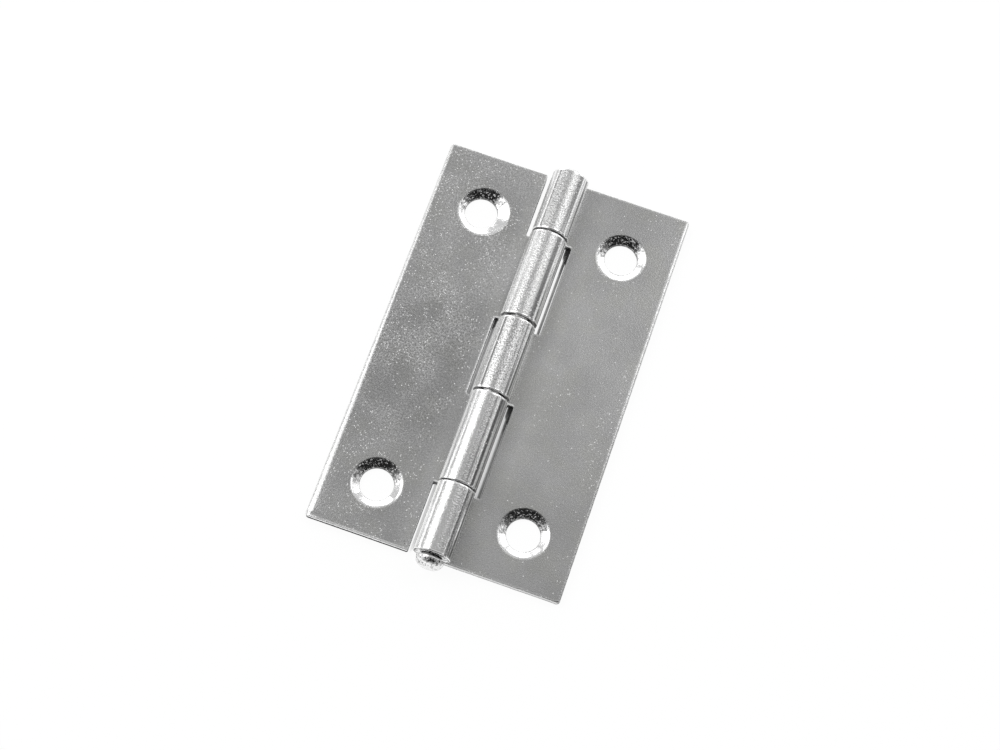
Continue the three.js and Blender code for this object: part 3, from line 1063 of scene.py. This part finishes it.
def zinc_plate(name, tone):
    """Bright zinc plate: fine grain, soft clouds of tone, painted light, specks, painted
    reflections, painted highlight and painted shade.
    """
    material = bpy.data.materials.new(name)
    nodes = Nodes(material)
    place = Place(nodes)
    pattern = Pattern(nodes, place)
    shader = nodes.add("ShaderNodeBsdfPrincipled", {
        "Base Color": plate_color(nodes, place, pattern, tone),
        "Metallic": 1.0,
        "Roughness": plate_roughness(nodes, pattern),
        "Normal": plate_bump(nodes, pattern),
    })
    nodes.add("ShaderNodeOutputMaterial", {"Surface": shader.outputs[0]})
    return material


def build_hinge():
    leaf_finish = zinc_plate("zinc_plate", LEAF_TONE)
    pin_finish = zinc_plate("zinc_pin", PIN_TONE)
    true_sink = (Vector((0, 0)), SINK_RADIUS)
    stray_sink = (STRAY_SINK, STRAY_SINK_RADIUS)
    left = Leaf(LEFT, 3.0, [stray_sink, true_sink])
    right = Leaf(RIGHT, 17.0, [true_sink, true_sink])
    plan = (
        ("left_leaf_rolled", left, leaf_finish, "swinging_leaf", "left_leaf", "leaf_plate"),
        ("right_leaf_rolled", right, leaf_finish, "fixed_leaf", "right_leaf", "leaf_plate"),
        ("headed_pin", pin_surface(), pin_finish, "fixed_leaf", "hinge_pin", "pin_plate"),
    )
    for name, surface, finish, body, node, slot in plan:
        piece = surface.make(name)
        piece.data.materials.append(finish)
        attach(piece, body)
        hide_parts(node)


# The photograph's view
IMAGE_WIDTH = 1000
FOCAL_PIXELS = 1917.3
SENSOR_WIDTH = 36
CAMERA_AIM = Vector((0.09, -0.984, 1.0))
CAMERA_DISTANCE = 224.37
CAMERA_AZIMUTH = 11.553
CAMERA_ELEVATION = 70.047
CAMERA_ROLL = 8.007
CLIP_START = 10


def direction(azimuth, elevation):
    """Unit vector towards a place seen from the hinge. Azimuth 0 is +Y and 90 is +X."""
    a, e = math.radians(azimuth), math.radians(elevation)
    return Vector((math.sin(a) * math.cos(e), math.cos(a) * math.cos(e), math.sin(e)))


def place_camera():
    camera = bpy.data.objects.new("camera", bpy.data.cameras.new("camera"))
    bpy.context.scene.collection.objects.link(camera)
    camera.data.sensor_width = SENSOR_WIDTH
    camera.data.lens = FOCAL_PIXELS * SENSOR_WIDTH / IMAGE_WIDTH
    camera.data.clip_start = CLIP_START * MM
    back = direction(180 - CAMERA_AZIMUTH, CAMERA_ELEVATION)
    level = (-back).to_track_quat("-Z", "Y").to_matrix()
    turn = level @ Matrix.Rotation(math.radians(CAMERA_ROLL), 3, "Z")
    place = (CAMERA_AIM + back * CAMERA_DISTANCE) * MM
    camera.matrix_world = Matrix.Translation(place) @ turn.to_4x4()
    bpy.context.scene.camera = camera


def softbox(name, place, facing, width, height, radiance):
    """A flat lamp, in millimetres. Its radiance is what a mirror shows of it."""
    lamp = bpy.data.lights.new(name, "AREA")
    lamp.shape = "RECTANGLE"
    lamp.size, lamp.size_y = width * MM, height * MM
    lamp.energy = radiance * math.pi * lamp.size * lamp.size_y
    box = bpy.data.objects.new(name, lamp)
    bpy.context.scene.collection.objects.link(box)
    box.location = place * MM
    box.rotation_mode = "QUATERNION"
    box.rotation_quaternion = facing.to_track_quat("-Z", "Y")
    box.visible_camera = False


def aimed(azimuth, elevation, distance):
    """Place and facing of a lamp that is aimed at the hinge."""
    towards = direction(azimuth, elevation)
    return towards * distance, -towards


# Name, place and facing, width, height and radiance of each lamp
LAMPS = (
    ("softbox_left", *aimed(-81, 47, 400), 260, 260, 1.85),
    ("strip_left", *aimed(-75, 3, 400), 400, 45, 1.3),
    ("softbox_back", *aimed(-6, 8, 500), 1000, 160, 1.7),
    ("softbox_back_left", *aimed(-46, 15, 400), 134, 100, 1.2),
    ("softbox_back_right", *aimed(44, 21, 400), 200, 110, 1.3),
    ("softbox_overhead", Vector((164, 195, 300)), Vector((0, 0, -1)), 204, 162, 1.5),
    ("strip_right", *aimed(74, 25, 400), 85, 66, 1.35),
)

# The studio's walls: how bright they are from the floor's level up, and the dark parts in front,
# on the right and in the corner of the table
SKY = (0.04, 0.3, 1.2, 0.6)
DARK_FRONT = direction(162, 51)
FRONT_LEVEL = 0.07
RIGHT_LEVEL = 0.65
CORNER_LEVEL = 0.1


def hang_walls():
    """The world: pale walls with dark parts, and plain white to the camera."""
    world = bpy.data.worlds.new("studio")
    bpy.context.scene.world = world
    nodes = Nodes(world)
    towards = nodes.add("ShaderNodeTexCoord").outputs["Generated"]
    x, y, height = nodes.add("ShaderNodeSeparateXYZ", {0: towards}).outputs
    dot = {"operation": "DOT_PRODUCT"}
    front = nodes.add("ShaderNodeVectorMath", {0: towards, 1: DARK_FRONT}, **dot).outputs["Value"]
    shades = []
    for level, *spans in (
        (FRONT_LEVEL, (front, 0.3, 0.9), (y, 0.15, -0.1), (height, 0.42, 0.6)),
        (RIGHT_LEVEL, (x, 0.45, 0.8), (height, 0.05, 0.15)),
        (CORNER_LEVEL, (y, 0.36, 0.33), (x, 0.7, 0.9), (height, 0.3, 0.2)),
    ):
        share = nodes.product(*(nodes.spread(*span) for span in spans))
        shades.append(nodes.fade(share, level))
    level = nodes.product(nodes.spread(height, *SKY), nodes.product(*shades))
    seen = nodes.add("ShaderNodeLightPath").outputs["Is Camera Ray"]
    strength = nodes.between(seen, level, 1.0)
    background = nodes.add("ShaderNodeBackground", {"Color": grey(1.0), "Strength": strength})
    nodes.add("ShaderNodeOutputWorld", {"Surface": background.outputs[0]})


# The gaps beside the knuckles, seen on the table: a black end above and a grey band below it.
# The leaf's side and which of the other leaf's knuckles, the black's share and length, the
# band's place out from the pin, its share above and below, and that of the table beside it
GAPS = (
    (RIGHT, 0, 0.94, 1.5, 2.56, 0.94, 0.8, 0.12),
    (LEFT, 1, 0.94, 0.9, 2.67, 0.78, 0.74, 0.3),
    (RIGHT, 1, 0.94, 1.6, 2.6, 0.94, 0.82, 0.5),
    (LEFT, 2, 0.55, 0.0, 2.55, 0.5, 0.5, 0.0),
)
BLACK_SLANT = 1.5
BLACK_SOFT = 0.4
BLACK_HALF_WIDTH = {LEFT: 0.12, RIGHT: 0.3}
BLACK_SIDE_SOFT = 0.15
BAND_SIDE = (0.1, 1.0), (0.24, 0.0)
BAND_FADE = 3
ENCLOSED_WITHIN = 3  # how far from the table the parts that shade it lie
ENCLOSED = (0.28, 0.42, 1.0, 0.0)


def gap_shade(nodes, place):
    """How dark the table is in the gaps beside the knuckles, where leaf and barrel enclose it."""
    shade = 0.0
    for side, number, black_share, black_length, band_at, band_top, band_end, beside in GAPS:
        high, low = KNUCKLES[-side][number]
        length = high - low
        out = nodes.product(place.x, side)
        down = nodes.math("SUBTRACT", high * MM, place.y)
        inside = nodes.product(
            nodes.change(out, (NOTCH_EDGE + 0.1, 1.0), (NOTCH_EDGE + 0.3, 0.0)),
            nodes.change(out, (0.0, 0.0), (0.3, 1.0)))
        inside_length = nodes.product(
            nodes.change(down, (length - 0.1, 1.0), (length + 0.2, 0.0)),
            nodes.change(down, (-0.6, 0.0), (-0.3, 1.0)))
        off_band = nodes.math("SUBTRACT", out, band_at * MM)
        from_band = nodes.math("ABSOLUTE", off_band)
        slanted = nodes.math("SUBTRACT", down, nodes.product(off_band, BLACK_SLANT))
        black_end = (black_length - BLACK_SOFT, black_share), (black_length + BLACK_SOFT, 0.0)
        half_width = BLACK_HALF_WIDTH[side]
        black_side = (half_width, 1.0), (half_width + BLACK_SIDE_SOFT, 0.0)
        black = nodes.product(
            nodes.change(slanted, *black_end), nodes.change(from_band, *black_side))
        fading = (black_length, band_top), (black_length + BAND_FADE, band_end)
        band = nodes.change(from_band, *BAND_SIDE)
        band = nodes.between(band, beside, nodes.change(down, *fading))
        deep = nodes.math("MAXIMUM", black, band)
        shade = nodes.math("MAXIMUM", shade, nodes.product(inside, inside_length, deep))
    inputs = {"Distance": ENCLOSED_WITHIN * MM}
    round_about = nodes.add("ShaderNodeAmbientOcclusion", inputs, samples=16)
    return nodes.product(shade, nodes.spread(round_about.outputs["AO"], *ENCLOSED))


# How long a mirrored ray is that shows the table white and not in the hinge's shade: pairs of
# length and share for the table at large and left of the hinge, and lengths in front of it
FAR_RAY = (1, 0.0), (6, 1.0)
FRONT_RIGHT_RAY = (0.05, 0.3)
FRONT_LEFT_RAY = (0.5, 0.7)
SIDE_RAY = (0.05, 0.0), (0.3, 1.0)
TABLE_SOFT = 0.1
TABLE_CORNER_X = (15, 0.0), (25, 1.0)
TABLE_CORNER_Y = (14, 0.0), (4, 1.0)
TABLE_GREY = 0.85
GAP_GREY = 0.05
TABLE_GLOW = 1.05
TABLE_GLOW_SHARE = 0.9
TABLE_HALF = 2000
TABLE_DROP = 0.02


def table_material():
    """White to the eye and in mirrors, but with its own shade in the gaps under the barrel."""
    material = bpy.data.materials.new("white_table")
    nodes = Nodes(material)
    place = Place(nodes)
    rays = nodes.add("ShaderNodeLightPath").outputs
    ray = rays["Ray Length"]
    in_front = nodes.change(place.y, (LOWER_END, 0.0), (LOWER_END - TABLE_SOFT, 1.0))
    to_left = nodes.change(place.x, (1, 0.0), (-1, 1.0))
    near = [nodes.between(to_left, right * MM, left * MM)
            for right, left in zip(FRONT_RIGHT_RAY, FRONT_LEFT_RAY)]
    beside = nodes.change(place.x, (-REACH, 0.0), (-REACH - TABLE_SOFT, 1.0))
    far = nodes.change(ray, *FAR_RAY)
    far = nodes.math("MAXIMUM", far, nodes.product(in_front, nodes.spread(ray, *near)))
    far = nodes.math("MAXIMUM", far, nodes.product(beside, nodes.change(ray, *SIDE_RAY)))
    corner = nodes.product(
        nodes.change(place.x, *TABLE_CORNER_X), nodes.change(place.y, *TABLE_CORNER_Y))
    mirrored = nodes.product(far, nodes.fade(corner, CORNER_LEVEL))
    mirrored = nodes.product(rays["Is Glossy Ray"], mirrored)
    seen = nodes.math("MAXIMUM", rays["Is Camera Ray"], mirrored)
    seen = nodes.math("MAXIMUM", seen, rays["Is Transmission Ray"])
    shade = gap_shade(nodes, place)
    color = nodes.blend(shade, grey(TABLE_GREY), grey(GAP_GREY))
    lit = nodes.add("ShaderNodeBsdfDiffuse", {"Color": color})
    white = nodes.add("ShaderNodeEmission", {"Color": grey(1.0), "Strength": TABLE_GLOW})
    share = nodes.product(seen, nodes.spread(shade, 0.0, 1.0, TABLE_GLOW_SHARE, 0.0))
    mixed = nodes.add("ShaderNodeMixShader", {0: share, 1: lit.outputs[0], 2: white.outputs[0]})
    nodes.add("ShaderNodeOutputMaterial", {"Surface": mixed.outputs[0]})
    return material


def lay_table():
    half = TABLE_HALF * MM
    mesh = bpy.data.meshes.new("table")
    corners = [(-half, -half, 0), (half, -half, 0), (half, half, 0), (-half, half, 0)]
    mesh.from_pydata(corners, [], [(0, 1, 2, 3)])
    mesh.materials.append(table_material())
    table = bpy.data.objects.new("table", mesh)
    bpy.context.scene.collection.objects.link(table)
    table.location.z = -TABLE_DROP * MM


build_hinge()
place_camera()
for lamp in LAMPS:
    softbox(*lamp)
hang_walls()
lay_table()
bpy.context.scene.view_settings.view_transform = "Standard"
